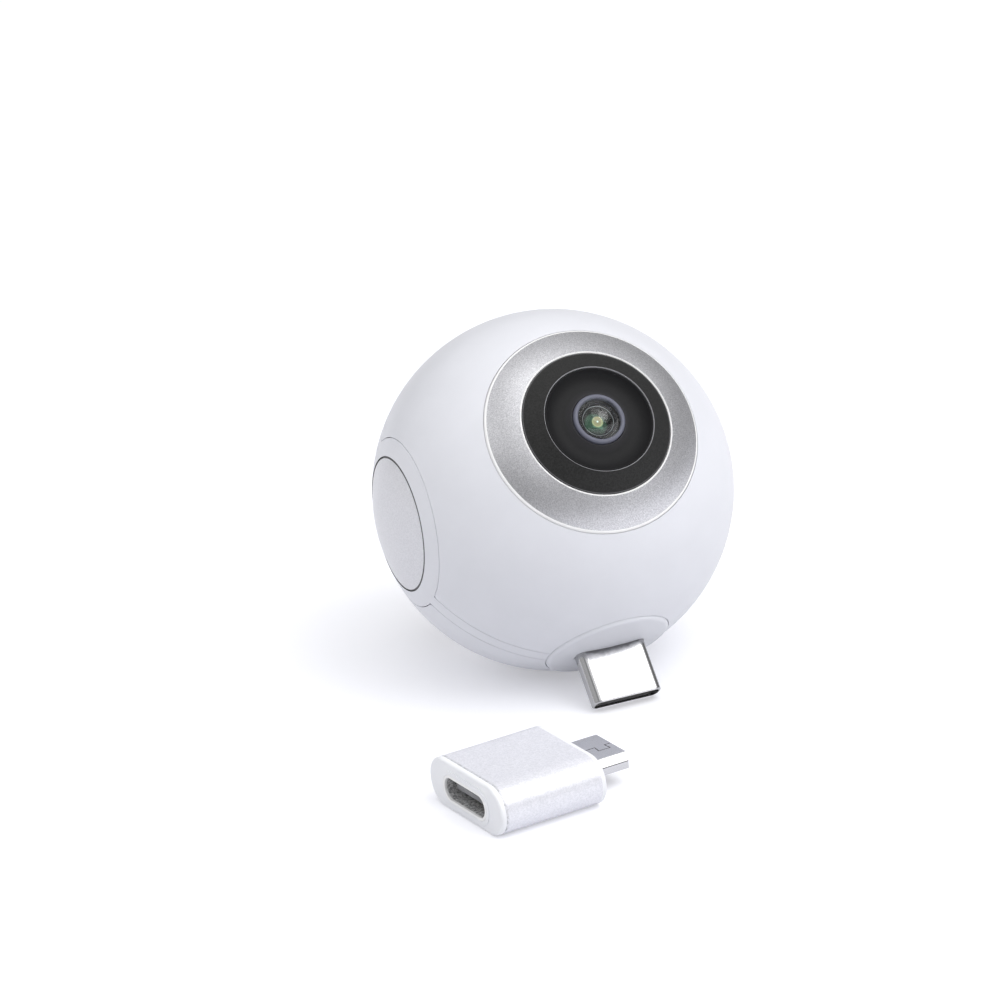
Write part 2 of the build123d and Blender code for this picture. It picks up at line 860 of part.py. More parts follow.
def shell_screws():
    """Longer screws that hold the shells to the brackets' posts, hidden under the silver rings."""
    with BuildPart() as screws:
        for side in (1, -1):
            with BuildSketch(lens_face(side, counterbore_floor)):
                with PolarLocations(post_circle_radius, post_count, start_angle=90):
                    Circle(shell_screw_head_radius)
            extrude(amount=shell_screw_head_height)
            with BuildSketch(lens_face(side, counterbore_floor)):
                with PolarLocations(post_circle_radius, post_count, start_angle=90):
                    Circle(shell_screw_radius)
            extrude(amount=-shell_screw_length + screw_clearance)
    return screws


def button_cap():
    """Domed cap with a skirt, a flange that keeps it in and a stem over the switch."""
    under_sphere = button_sphere - button_wall
    skirt_radius = button_radius - skirt_wall
    flange_top = button_lip_foot - button_flange_gap
    flange_foot = flange_top - button_flange_thickness
    with BuildPart() as cap:
        with BuildSketch(button_outline):
            with BuildLine():
                sphere_arc(0, button_radius, button_sphere)
                Polyline(
                    (button_radius, rise(button_radius, button_sphere)),
                    (button_radius, flange_top),
                    (button_flange_radius, flange_top),
                    (button_flange_radius, flange_foot),
                    (skirt_radius, flange_foot),
                    (skirt_radius, rise(skirt_radius, under_sphere)),
                )
                sphere_arc(skirt_radius, stem_radius, under_sphere)
                Polyline(
                    (stem_radius, rise(stem_radius, under_sphere)),
                    (stem_radius, plunger_top),
                    (0, plunger_top),
                    (0, button_sphere),
                )
            make_face()
        revolve(axis=button_axis)
        fillet(outer_rims(cap)[0], radius=button_edge_fillet)
    return cap


def switch_plunger():
    collar_top = switch_foot + switch_height - switch_cover - plunger_gap
    with BuildPart() as plunger:
        with BuildSketch(button_outline):
            with BuildLine():
                Polyline(
                    (0, plunger_top),
                    (plunger_radius, plunger_top),
                    (plunger_radius, collar_top),
                    (plunger_collar_radius, collar_top),
                    (plunger_collar_radius, collar_top - plunger_collar_height),
                    (0, collar_top - plunger_collar_height),
                    close=True,
                )
            make_face()
        revolve(axis=button_axis)
    return plunger


def switch_body():
    """Small square switch with a hole for its plunger and room for the plunger's collar."""
    with BuildPart() as body:
        with BuildSketch(across(button_dir, plug_dir, switch_foot)):
            Rectangle(switch_width, switch_width)
        extrude(amount=switch_height)
        with BuildSketch(across(button_dir, plug_dir, switch_foot + switch_floor)):
            Circle(plunger_collar_radius + plunger_gap)
        extrude(amount=switch_height - switch_floor - switch_cover, mode=Mode.SUBTRACT)
        with BuildSketch(across(button_dir, plug_dir, switch_foot + switch_floor)):
            Circle(plunger_radius + plunger_gap)
        extrude(amount=switch_height, mode=Mode.SUBTRACT)
    return body


def button_board():
    with BuildPart() as board:
        with BuildSketch(across(button_dir, plug_dir, shelf_top)):
            Circle(wide_bore_radius - board_clearance)
            with Locations((button_screw_place, 0), (-button_screw_place, 0)):
                Circle(screw_hole_radius, mode=Mode.SUBTRACT)
        extrude(amount=board_thickness)
    return board


def button_flex():
    """Flat cable from the main board's face up the back of the switch's board."""
    low = board_half + flex_thickness / 2
    back = shelf_top - flex_thickness / 2
    start = back - button_flex_length
    with BuildPart() as flex:
        with BuildSketch(button_section):
            with BuildLine():
                FilletPolyline((start, low), (back, low), (back, low + button_flex_climb), radius=flex_bend)
            trace(line_width=flex_thickness)
        extrude(amount=button_flex_width / 2, both=True)
    return flex


def plug_boot():
    """Round pad with a slightly domed face and a rounded rim, held by a flange inside the ball."""
    rim_height = boot_crown - boot_dome_radius + rise(boot_radius, boot_dome_radius)
    with BuildPart() as boot:
        with BuildSketch(plug_outline):
            with BuildLine():
                cap_arc(boot_radius, rim_height, boot_crown)
                Polyline(
                    (0, boot_crown),
                    (0, boot_flange_foot),
                    (boot_flange_radius, boot_flange_foot),
                    (boot_flange_radius, boot_flange_top),
                    (boot_radius, boot_flange_top),
                    (boot_radius, rim_height),
                )
            make_face()
        revolve(axis=plug_axis)
        fillet(outer_rims(boot)[0], radius=boot_rim_fillet)
        with BuildSketch(across(plug_dir, button_dir, boot_flange_foot)):
            RectangleRounded(usb_c_width + 2 * plug_clearance, usb_c_height + 2 * plug_clearance, usb_c_corner)
        extrude(amount=ball_radius, mode=Mode.SUBTRACT)
    return boot


def plug_shell():
    """Drawn steel tube of the plug, with a rounded tip."""
    with BuildPart() as tube:
        with BuildSketch(across(plug_dir, button_dir, plug_tail)):
            RectangleRounded(usb_c_width, usb_c_height, usb_c_corner)
        extrude(amount=plug_reach - plug_tail)
        fillet(tube.faces().sort_by(plug_axis)[-1].edges(), radius=usb_c_tip_fillet)
        with BuildSketch(across(plug_dir, button_dir, plug_tail)):
            inner_width = usb_c_width - 2 * usb_c_wall
            inner_height = usb_c_height - 2 * usb_c_wall
            RectangleRounded(inner_width, inner_height, usb_c_corner - usb_c_wall)
        extrude(amount=plug_reach, mode=Mode.SUBTRACT)
    return tube


def plug_insulator():
    """Moulded core of the plug with the slot that the socket's tongue enters."""
    shrink = 2 * (usb_c_wall + plug_clearance)
    corner = usb_c_corner - usb_c_wall - plug_clearance
    with BuildPart() as core:
        with BuildSketch(across(plug_dir, button_dir, insulator_foot)):
            RectangleRounded(usb_c_width - shrink, usb_c_height - shrink, corner)
        extrude(amount=insulator_tip - insulator_foot)
        with BuildSketch(across(plug_dir, button_dir, insulator_tip)):
            Rectangle(tongue_slot_width, tongue_slot_height)
        extrude(amount=-tongue_slot_depth, mode=Mode.SUBTRACT)
    return core


def plug_contacts():
    """Two rows of contact strips in the plug's slot, and their tails on the board's tab."""
    strip_level = tongue_slot_height / 2 - contact_thickness / 2
    tail_level = board_half + contact_thickness / 2
    strip_top = insulator_tip - contact_recess
    with BuildPart() as strips:
        for level, top, length in (
            (strip_level, strip_top, contact_length),
            (tail_level, insulator_foot, insulator_foot - plug_tail),
        ):
            with BuildSketch(across(plug_dir, button_dir, top)):
                for row in (level, -level):
                    with Locations((0, row)):
                        with GridLocations(contact_pitch, contact_thickness, contact_count, 1):
                            Rectangle(contact_width, contact_thickness)
            extrude(amount=-length)
    return strips


# Adapter: its planes have x across the body and y up
adapter_frame = Plane(
    origin=(adapter_x, adapter_y, 0),
    x_dir=(cos(radians(adapter_turn)), sin(radians(adapter_turn)), 0),
    z_dir=(0, 0, 1),
)


def adapter_section(station, height):
    """Sketch plane square to the adapter's length, at a station from its middle and a height."""
    origin = adapter_frame.from_local_coords((station, 0, height))
    return Plane(origin=origin, x_dir=adapter_frame.y_dir, z_dir=adapter_frame.x_dir)


def micro_outline(inset):
    """Outline of the small plug, with upright lower sides and slanted upper ones."""
    half = micro_width / 2 - inset
    top_half = micro_top_width / 2 - inset
    return [
        (-half, inset),
        (half, inset),
        (half, micro_side_height),
        (top_half, micro_height - inset),
        (-top_half, micro_height - inset),
        (-half, micro_side_height),
    ]


def adapter_housing():
    """Extruded tube with full round sides."""
    mouth = receptacle_mouth + cap_thickness
    inner_height = adapter_height - 2 * adapter_wall
    with BuildPart() as tube:
        with BuildSketch(adapter_section(mouth, adapter_height / 2)):
            SlotOverall(adapter_width, adapter_height)
            SlotOverall(adapter_width - 2 * adapter_wall, inner_height, mode=Mode.SUBTRACT)
        extrude(amount=adapter_length - 2 * cap_thickness)
    return tube


def adapter_end_cap():
    """Cap round the socket, with a soft edge and a small lip at the mouth."""
    slip = 2 * (adapter_wall + cap_clearance)
    with BuildPart() as cap:
        with BuildSketch(adapter_section(receptacle_mouth, adapter_height / 2)):
            SlotOverall(adapter_width, adapter_height)
        extrude(amount=cap_thickness)
        fillet(cap.faces().sort_by(Axis(adapter_frame.origin, adapter_frame.x_dir))[0].edges(), radius=cap_edge)
        with BuildSketch(adapter_section(receptacle_mouth + cap_thickness, adapter_height / 2)):
            SlotOverall(adapter_width - slip, adapter_height - slip)
        extrude(amount=cap_plug_depth)
        with BuildSketch(adapter_section(receptacle_mouth, receptacle_centre)):
            SlotOverall(receptacle_width + 2 * cap_clearance, receptacle_height + 2 * cap_clearance)
        extrude(amount=adapter_length, mode=Mode.SUBTRACT)
        with BuildSketch(adapter_section(receptacle_mouth, receptacle_centre)):
            SlotOverall(receptacle_width + 2 * receptacle_lip, receptacle_height + 2 * receptacle_lip)
            SlotOverall(
                receptacle_width + 2 * cap_clearance, receptacle_height + 2 * cap_clearance, mode=Mode.SUBTRACT
            )
        extrude(amount=-receptacle_lip_height)
    return cap


def adapter_tail_cap():
    slip = 2 * (adapter_wall + cap_clearance)
    tail_face = adapter_length / 2
    with BuildPart() as cap:
        with BuildSketch(adapter_section(tail_face, adapter_height / 2)):
            SlotOverall(adapter_width, adapter_height)
        extrude(amount=-cap_thickness)
        fillet(cap.faces().sort_by(Axis(adapter_frame.origin, adapter_frame.x_dir))[-1].edges(), radius=cap_edge)
        with BuildSketch(adapter_section(tail_face - cap_thickness, adapter_height / 2)):
            SlotOverall(adapter_width - slip, adapter_height - slip)
        extrude(amount=-cap_plug_depth)
        with BuildSketch(adapter_section(tail_face, micro_foot)):
            with BuildLine():
                Polyline(*micro_outline(-cap_clearance), close=True)
            make_face()
        extrude(amount=-adapter_length, mode=Mode.SUBTRACT)
    return cap


def receptacle_shell():
    with BuildPart() as tube:
        with BuildSketch(adapter_section(receptacle_mouth - receptacle_lip_height, receptacle_centre)):
            SlotOverall(receptacle_width, receptacle_height)
            SlotOverall(
                receptacle_width - 2 * receptacle_wall, receptacle_height - 2 * receptacle_wall, mode=Mode.SUBTRACT
            )
        extrude(amount=receptacle_depth + receptacle_lip_height)
    return tube


def receptacle_tongue():
    """Tongue of the socket on a base that fills the back of its shell."""
    slip = 2 * (receptacle_wall + cap_clearance)
    tip = receptacle_mouth + tongue_recess
    with BuildPart() as tongue:
        with BuildSketch(adapter_section(receptacle_rear, receptacle_centre)):
            SlotOverall(receptacle_width - slip, receptacle_height - slip)
        extrude(amount=-tongue_base)
        with BuildSketch(adapter_section(tip, receptacle_centre)):
            Rectangle(tongue_width, tongue_thickness)
        extrude(amount=receptacle_rear - tip)
        fillet(tongue.faces().sort_by(Axis(adapter_frame.origin, adapter_frame.x_dir))[0].edges(), radius=cap_edge / 2)
    return tongue


def receptacle_contacts():
    level = (tongue_thickness + tongue_contact_thickness) / 2
    with BuildPart() as strips:
        with BuildSketch(adapter_section(receptacle_rear - tongue_base, receptacle_centre)):
            for row in (level, -level):
                with Locations((0, row)):
                    with GridLocations(contact_pitch, tongue_contact_thickness, contact_count, 1):
                        Rectangle(contact_width, tongue_contact_thickness)
        extrude(amount=-tongue_contact_length)
    return strips


def adapter_board():
    with BuildPart() as board:
        with BuildSketch(adapter_section(receptacle_rear, adapter_height / 2)):
            Rectangle(adapter_board_width, board_thickness)
        extrude(amount=micro_start - receptacle_rear)
    return board


def latch_rows():
    return [(latch_place, 0), (-latch_place, 0)]


def micro_plug_shell():
    """Folded steel tube of the small plug: a dovetailed fold on top and two latch slots below."""
    barb_start = micro_tip - latch_tip_gap - barb_length
    with BuildPart() as tube:
        with BuildSketch(adapter_section(micro_start, micro_foot)):
            with BuildLine():
                Polyline(*micro_outline(0), close=True)
            make_face()
            with BuildLine():
                Polyline(*micro_outline(micro_wall), close=True)
            make_face(mode=Mode.SUBTRACT)
        extrude(amount=micro_tip - micro_start)
        with BuildSketch(adapter_section(barb_start - latch_gap, micro_foot)):
            with Locations(*latch_rows()):
                Rectangle(latch_width + 2 * latch_gap, 2 * micro_wall)
        extrude(amount=barb_length + 2 * latch_gap, mode=Mode.SUBTRACT)
        tail_face = adapter_length / 2
        with BuildSketch(adapter_frame.offset(micro_foot + micro_height)):
            with BuildLine():
                Polyline(
                    (tail_face, 0),
                    (tail_face + fold_tab_start, 0),
                    (tail_face + fold_tab_start - fold_tab_flare, -fold_tab_step),
                    (tail_face + fold_tab_end + fold_tab_flare, -fold_tab_step),
                    (tail_face + fold_tab_end, 0),
                    (micro_tip - fold_width, 0),
                )
            trace(line_width=fold_width)
        extrude(amount=-fold_depth, mode=Mode.SUBTRACT)
    return tube


def micro_plug_core():
    """Moulded core of the small plug, with the socket's slot and a channel for each latch."""
    channel_start = micro_tip - latch_tip_gap - latch_length - latch_gap
    with BuildPart() as core:
        with BuildSketch(adapter_section(micro_start, micro_foot)):
            with BuildLine():
                Polyline(*micro_outline(micro_wall + cap_clearance / 2), close=True)
            make_face()
        extrude(amount=micro_tip - micro_core_recess - micro_start)
        with BuildSketch(adapter_section(micro_tip, micro_foot + micro_height / 2)):
            Rectangle(micro_slot_width, micro_slot_height)
        extrude(amount=-micro_slot_depth, mode=Mode.SUBTRACT)
        with BuildSketch(adapter_section(channel_start, micro_foot + micro_wall)):
            with Locations(*latch_rows()):
                Rectangle(latch_width + 2 * latch_gap, latch_channel_height * 2)
        extrude(amount=micro_tip - channel_start, mode=Mode.SUBTRACT)
    return core


def micro_plug_contacts():
    level = micro_foot + (micro_height - micro_slot_height + micro_contact_thickness) / 2
    with BuildPart() as strips:
        with BuildSketch(adapter_section(micro_tip - micro_slot_depth, level)):
            with GridLocations(micro_contact_pitch, micro_contact_thickness, micro_contact_count, 1):
                Rectangle(micro_contact_width, micro_contact_thickness)
        extrude(amount=micro_contact_length)
    return strips


def micro_plug_latches():
    """Two spring fingers on the plug's floor, each with a barb that stands out underneath."""
    finger_start = micro_tip - latch_tip_gap - latch_length
    with BuildPart() as latches:
        with BuildSketch(adapter_section(finger_start, micro_foot + micro_wall + latch_thickness / 2)):
            with Locations(*latch_rows()):
                Rectangle(latch_width, latch_thickness)
        extrude(amount=latch_length)
        with BuildSketch(adapter_section(micro_tip - latch_tip_gap, micro_foot + micro_wall)):
            with Locations(*latch_rows()):
                Rectangle(latch_width, micro_wall + barb_height, align=(Align.CENTER, Align.MAX))
        extrude(amount=-barb_length)
    return latches


os.makedirs("parts", exist_ok=True)

for side, name in ((1, "front"), (-1, "rear")):
    write(shell(side), f"{name}_shell")
    write(bezel_ring(side), f"{name}_bezel_ring")
    write(surround_ring(side), f"{name}_surround_ring")
    write(lens_dish(side), f"{name}_lens_dish")
    write(lens_barrel(side), f"{name}_lens_barrel")
    write(retaining_ring(side), f"{name}_retaining_ring")
    write(dome_glass(side), f"{name}_dome_glass")
    middle_radius = middle_bore_radius - lens_clearance
    middle_seat = stop_seat + stop_thickness
    write(plain_lens(side, middle_radius, middle_seat, middle_lens_edge, middle_lens_rise), f"{name}_middle_lens")
    write(aperture_stop(side), f"{name}_aperture_stop")
    inner_radius_of_lens = inner_bore_radius - lens_clearance
    write(
        plain_lens(side, inner_radius_of_lens, inner_lens_seat, inner_lens_edge, inner_lens_rise),
        f"{name}_inner_lens",
    )
    write(lens_holder(side), f"{name}_lens_holder")
    write(infrared_filter(side), f"{name}_infrared_filter")
    write(image_sensor(side), f"{name}_image_sensor")
    write(sensor_board(side), f"{name}_sensor_board")
    write(sensor_bracket(side), f"{name}_sensor_bracket")
    write(sensor_flex(side), f"{name}_sensor_flex")

write(band(), "centre_band")
write(main_board(), "main_board")
write(shield_can(), "shield_can")
write(board_chips(), "board_chips")
write(board_connectors(), "board_connectors")
write(frame_screws(), "frame_screws")
write(shell_screws(), "shell_screws")
write(button_cap(), "button_cap")
write(switch_plunger(), "switch_plunger")
write(switch_body(), "switch_body")
write(button_board(), "button_board")
write(button_flex(), "button_flex")
write(plug_boot(), "plug_boot")
write(plug_shell(), "plug_shell")
write(plug_insulator(), "plug_insulator")
write(plug_contacts(), "plug_contacts")
write(adapter_housing(), "adapter_housing")
write(adapter_end_cap(), "adapter_end_cap")
write(adapter_tail_cap(), "adapter_tail_cap")
write(receptacle_shell(), "receptacle_shell")
write(receptacle_tongue(), "receptacle_tongue")
write(receptacle_contacts(), "receptacle_contacts")
write(adapter_board(), "adapter_board")
write(micro_plug_shell(), "micro_plug_shell")
write(micro_plug_core(), "micro_plug_core")
write(micro_plug_contacts(), "micro_plug_contacts")
write(micro_plug_latches(), "micro_plug_latches")
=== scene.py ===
import math

import bpy
from mathutils import Matrix, Vector


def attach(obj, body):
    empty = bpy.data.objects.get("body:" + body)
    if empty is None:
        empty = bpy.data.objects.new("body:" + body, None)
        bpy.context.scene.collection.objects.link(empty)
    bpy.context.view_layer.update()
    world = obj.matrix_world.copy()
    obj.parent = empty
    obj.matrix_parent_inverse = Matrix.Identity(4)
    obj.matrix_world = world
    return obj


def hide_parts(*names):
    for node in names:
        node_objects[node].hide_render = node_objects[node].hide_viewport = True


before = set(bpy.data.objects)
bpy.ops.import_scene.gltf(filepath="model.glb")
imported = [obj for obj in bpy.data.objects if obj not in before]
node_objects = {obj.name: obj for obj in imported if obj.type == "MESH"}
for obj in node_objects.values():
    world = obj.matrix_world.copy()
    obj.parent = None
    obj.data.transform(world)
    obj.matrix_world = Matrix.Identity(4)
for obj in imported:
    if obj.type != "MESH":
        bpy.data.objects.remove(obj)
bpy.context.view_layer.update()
bpy.ops.object.select_all(action="DESELECT")

mm = 0.001

# Sizes of the ball and the adapter, as the solids have them
ball_radius = 20.5 * mm
ball_centre = Vector((0.0, 0.0, ball_radius))
plug_half_height = 1.2 * mm
plug_reach = 26.0 * mm
plug_tip_distance = math.hypot(plug_reach, plug_half_height)
lie_tilt = math.atan2(plug_half_height, plug_reach) + math.acos(ball_radius / plug_tip_distance)
lens_direction = Vector((0.0, -math.cos(lie_tilt), math.sin(lie_tilt)))
button_direction = Vector((-1.0, 0.0, 0.0))
adapter_turn = math.radians(8.0)
adapter_middle = Vector((-20.85, -35.0, 2.8)) * mm
adapter_direction = Vector((math.cos(adapter_turn), math.sin(adapter_turn), 0.0))
adapter_side = Vector((-math.sin(adapter_turn), math.cos(adapter_turn), 0.0))

# Camera of the photograph, fitted to its seams, rings and corners
camera_azimuth = math.radians(-21.413)
camera_elevation = math.radians(20.260)
camera_roll = math.radians(-4.735)
camera_place = Vector((-0.18431, -0.45334, 0.20041))
camera_lens = 165.6
camera_sensor = 36.0
camera_near = 0.01
camera_far = 20.0


def look_from(azimuth, elevation, roll, place):
    """Matrix of a camera that looks back from an azimuth and elevation, turned by its roll."""
    back = Vector((
        math.sin(azimuth) * math.cos(elevation),
        -math.cos(azimuth) * math.cos(elevation),
        math.sin(elevation),
    ))
    level = Vector((math.cos(azimuth), math.sin(azimuth), 0.0))
    upright = back.cross(level)
    right = level * math.cos(roll) + upright * math.sin(roll)
    up = upright * math.cos(roll) - level * math.sin(roll)
    matrix = Matrix((right, up, back)).transposed().to_4x4()
    matrix.translation = place
    return matrix


bpy.ops.object.camera_add()
camera = bpy.context.object
camera.name = "photo_camera"
camera.data.sensor_width = camera_sensor
camera.data.lens = camera_lens
camera.data.clip_start = camera_near
camera.data.clip_end = camera_far
camera.matrix_world = look_from(camera_azimuth, camera_elevation, camera_roll, camera_place)
bpy.context.scene.camera = camera
bpy.context.scene.view_settings.view_transform = "Standard"


# Building blocks of the materials and the sky
class Nodes:
    """Short names for the nodes of one material or of the world."""

    def __init__(self, tree):
        self.nodes = tree.nodes
        self.links = tree.links

    def feed(self, socket, value):
        """Give a socket a number, a colour or another node's output."""
        if isinstance(value, bpy.types.NodeSocket):
            self.links.new(value, socket)
        elif socket.type == "RGBA":
            colour = value if isinstance(value, tuple) else (value, value, value)
            socket.default_value = (*colour, 1.0)
        else:
            socket.default_value = value

    def place(self):
        return self.nodes.new("ShaderNodeTexCoord").outputs["Object"]

    def place_along(self, axis_name):
        split = self.nodes.new("ShaderNodeSeparateXYZ")
        self.feed(split.inputs[0], self.place())
        return split.outputs[axis_name]

    def noise(self, scale, detail=2.0, roughness=0.5):
        """Cloudy pattern whose patches are about 1/scale metres across."""
        texture = self.nodes.new("ShaderNodeTexNoise")
        self.feed(texture.inputs["Scale"], scale)
        self.feed(texture.inputs["Detail"], detail)
        self.feed(texture.inputs["Roughness"], roughness)
        self.feed(texture.inputs["Vector"], self.place())
        return texture.outputs["Fac"]

    def grains(self, scale):
        """Random value for each tiny grain, about 1/scale metres across."""
        cells = self.nodes.new("ShaderNodeTexVoronoi")
        self.feed(cells.inputs["Scale"], scale)
        self.feed(cells.inputs["Vector"], self.place())
        split = self.nodes.new("ShaderNodeSeparateColor")
        self.feed(split.inputs["Color"], cells.outputs["Color"])
        return split.outputs["Red"]

    def ramp(self, value, stops):
        """Colours between stops, each a place from 0 to 1 and a colour or a grey."""
        band = self.nodes.new("ShaderNodeValToRGB")
        elements = band.color_ramp.elements
        while len(elements) < len(stops):
            elements.new(0.5)
        for element, (position, colour) in zip(elements, stops):
            grey = not isinstance(colour, tuple)
            element.position = position
            element.color = (colour, colour, colour, 1.0) if grey else (*colour, 1.0)
        self.feed(band.inputs["Fac"], value)
        return band.outputs["Color"]

    def spread(self, value, low, high, from_low=0.0, from_high=1.0):
        """Value moved from one range to another and held inside it."""
        remap = self.nodes.new("ShaderNodeMapRange")
        self.feed(remap.inputs["From Min"], from_low)
        self.feed(remap.inputs["From Max"], from_high)
        self.feed(remap.inputs["To Min"], low)
        self.feed(remap.inputs["To Max"], high)
        self.feed(remap.inputs["Value"], value)
        return remap.outputs["Result"]

    def beyond(self, value, limit, blend):
        """Mask that climbs from 0 at a limit to 1 past it."""
        return self.spread(value, 0.0, 1.0, limit, limit + blend)

    def within(self, value, limit, blend):
        """Mask that falls from 1 before a limit to 0 at it."""
        return self.spread(value, 1.0, 0.0, limit - blend, limit)

    def bump(self, height, strength, distance):
        node = self.nodes.new("ShaderNodeBump")
        self.feed(node.inputs["Strength"], strength)
        self.feed(node.inputs["Distance"], distance)
        self.feed(node.inputs["Height"], height)
        return node.outputs["Normal"]

    def mix(self, factor, first, second):
        node = self.nodes.new("ShaderNodeMix")
        node.data_type = "RGBA"
        self.feed(node.inputs["Factor"], factor)
        self.feed(node.inputs[6], first)
        self.feed(node.inputs[7], second)
        return node.outputs[2]

    def maths(self, operation, first, second=0.0):
        node = self.nodes.new("ShaderNodeMath")
        node.operation = operation
        self.feed(node.inputs[0], first)
        self.feed(node.inputs[1], second)
        return node.outputs[0]

    def vector_maths(self, operation, first, second=None):
        node = self.nodes.new("ShaderNodeVectorMath")
        node.operation = operation
        self.feed(node.inputs[0], first)
        if second is not None:
            self.feed(node.inputs[1], second)
        return node.outputs["Value" if operation in ("LENGTH", "DOT_PRODUCT") else "Vector"]

    def from_axis(self, direction):
        """Distance in metres from an axis through the ball's centre."""
        shift = self.vector_maths("SUBTRACT", self.place(), ball_centre)
        return self.vector_maths("LENGTH", self.vector_maths("CROSS_PRODUCT", shift, direction))

    def from_adapter(self, direction):
        """Distance in metres along a direction, from the adapter's middle."""
        shift = self.vector_maths("SUBTRACT", self.place(), adapter_middle)
        return self.vector_maths("DOT_PRODUCT", shift, direction)


class Finish(Nodes):
    """A material, whose shader is set by the names of its sockets."""

    def __init__(self, name):
        self.material = bpy.data.materials.new(name)
        self.material.use_nodes = True
        super().__init__(self.material.node_tree)
        self.shader = self.nodes["Principled BSDF"]

    def put(self, socket_name, value):
        self.feed(self.shader.inputs[socket_name], value)

    def darken(self, mask, colour):
        """Lay a darker colour over the base colour, where a mask is 1."""
        base = self.shader.inputs["Base Color"].links[0].from_socket
        self.put("Base Color", self.mix(mask, base, colour))


# Finishes of the kinds of piece that the object has
skin_patches = 260.0
fine_grain = 9000.0
clear_coat_roughness = 0.25


def shaded(colour, factor):
    return tuple(min(1.0, part * factor) for part in colour)


def moulded(name, colour, roughness, grain_scale=fine_grain, mottle=0.012, coat=0.0):
    """Moulded or painted surface: a faint uneven tone, fine grain and uneven gloss."""
    grain_depth = 0.004 * mm
    gloss_change = 0.06
    finish = Finish(name)
    tone = finish.noise(skin_patches, detail=3.0)
    tones = [(0.3, shaded(colour, 1.0 - mottle)), (0.7, shaded(colour, 1.0 + mottle))]
    finish.put("Base Color", finish.ramp(tone, tones))
    gloss = finish.noise(grain_scale / 3.0)
    finish.put(
        "Roughness", finish.spread(gloss, roughness - gloss_change, roughness + gloss_change)
    )
    finish.put("Normal", finish.bump(finish.noise(grain_scale, detail=1.0), 0.5, grain_depth))
    finish.put("Coat Weight", coat)
    finish.put("Coat Roughness", clear_coat_roughness)
    return finish


def metal(name, colour, roughness, mottle=0.05):
    finish = moulded(name, colour, roughness, mottle=mottle)
    finish.put("Metallic", 1.0)
    return finish


def blasted_ring():
    """Blasted aluminium with tiny sparkling grains, and a painted highlight, in white, along both
    polished rims.
    """
    outer_rim_highlight = 11.96 * mm
    inner_rim_highlight = 8.70 * mm
    finish = Finish("blasted_ring")
    sparkle = finish.maths("MULTIPLY", finish.grains(16000.0), 0.3)
    cloud = finish.maths("MULTIPLY", finish.noise(7000.0, detail=4.0, roughness=0.7), 0.7)
    speckle = finish.maths("ADD", sparkle, cloud)
    colours = finish.ramp(speckle, [
        (0.32, (0.52, 0.52, 0.545)), (0.5, (0.66, 0.66, 0.69)), (0.68, (0.84, 0.84, 0.87)),
    ])
    distance = finish.from_axis(lens_direction)
    # Painted highlight: a white, non-metal line along the outer and inner rims
    outer = finish.beyond(distance, outer_rim_highlight, 0.03 * mm)
    inner = finish.within(distance, inner_rim_highlight, 0.04 * mm)
    edge = finish.maths("MAXIMUM", outer, inner)
    finish.put("Base Color", finish.mix(edge, colours, (1.0, 1.0, 1.0)))
    finish.put("Roughness", finish.mix(edge, 0.31, 0.3))
    finish.put("Metallic", finish.mix(edge, 0.9, 0.0))
    finish.put("Normal", finish.bump(speckle, 0.5, 0.02 * mm))
    return finish


def sparkling(name, dark, light, metallic):
    """Nearly white face whose fine grains sparkle in the light."""
    finish = Finish(name)
    sparkle = finish.maths("MULTIPLY", finish.grains(8000.0), 0.5)
    cloud = finish.maths("MULTIPLY", finish.noise(3500.0, detail=3.0), 0.5)
    speckle = finish.maths("ADD", sparkle, cloud)
    finish.put("Base Color", finish.ramp(speckle, [(0.2, dark), (0.8, light)]))
    finish.put("Roughness", finish.spread(speckle, 0.28, 0.40, 0.2, 0.8))
    finish.put("Metallic", metallic)
    finish.put("Normal", finish.bump(speckle, 0.6, 0.03 * mm))
    return finish


def adapter_body():
    """Sparkling tube, with a broken line of dark grains where it meets its end cap."""
    joint_line_end = -5.6 * mm
    joint_blend = 0.3 * mm
    finish = sparkling("pearl_body", (0.75, 0.755, 0.81), (0.90, 0.90, 0.96), 0.25)
    near = finish.within(finish.from_adapter(adapter_direction), joint_line_end, joint_blend)
    patches = finish.spread(finish.noise(3000.0), 0.2, 0.8, 0.4, 0.65)
    finish.darken(finish.maths("MULTIPLY", near, patches), (0.30, 0.30, 0.31))
    return finish


# Painted shade, near black, on the walls of the gap round the button
gap_painted_shade = (0.06, 0.06, 0.065)
gap_shade_blend = 0.01 * mm


def band_with_button_hole():
    """White centre band with painted shade on the walls of its hole for the button."""
    shaded_hole_radius = 7.755 * mm
    button_side_end = -12.0 * mm
    finish = moulded("white_satin_band", white_skin, skin_roughness, coat=skin_coat)
    # Painted shade: the walls of the hole are darkened where the gap lies in shade
    wall = finish.within(finish.from_axis(button_direction), shaded_hole_radius, gap_shade_blend)
    on_button_side = finish.within(finish.place_along("X"), button_side_end, 0.1 * mm)
    finish.darken(finish.maths("MULTIPLY", wall, on_button_side), gap_painted_shade)
    return finish


def button_face():
    """Sparkling button with painted shade on its skirt, in the gap round it."""
    shaded_skirt_start = 7.51 * mm
    finish = sparkling("pearl_button", (0.70, 0.70, 0.74), (0.80, 0.80, 0.84), 0.15)
    # Painted shade on the button's skirt
    shaded_skirt = finish.beyond(finish.from_axis(button_direction), shaded_skirt_start, gap_shade_blend)
    finish.darken(shaded_skirt, gap_painted_shade)
    return finish


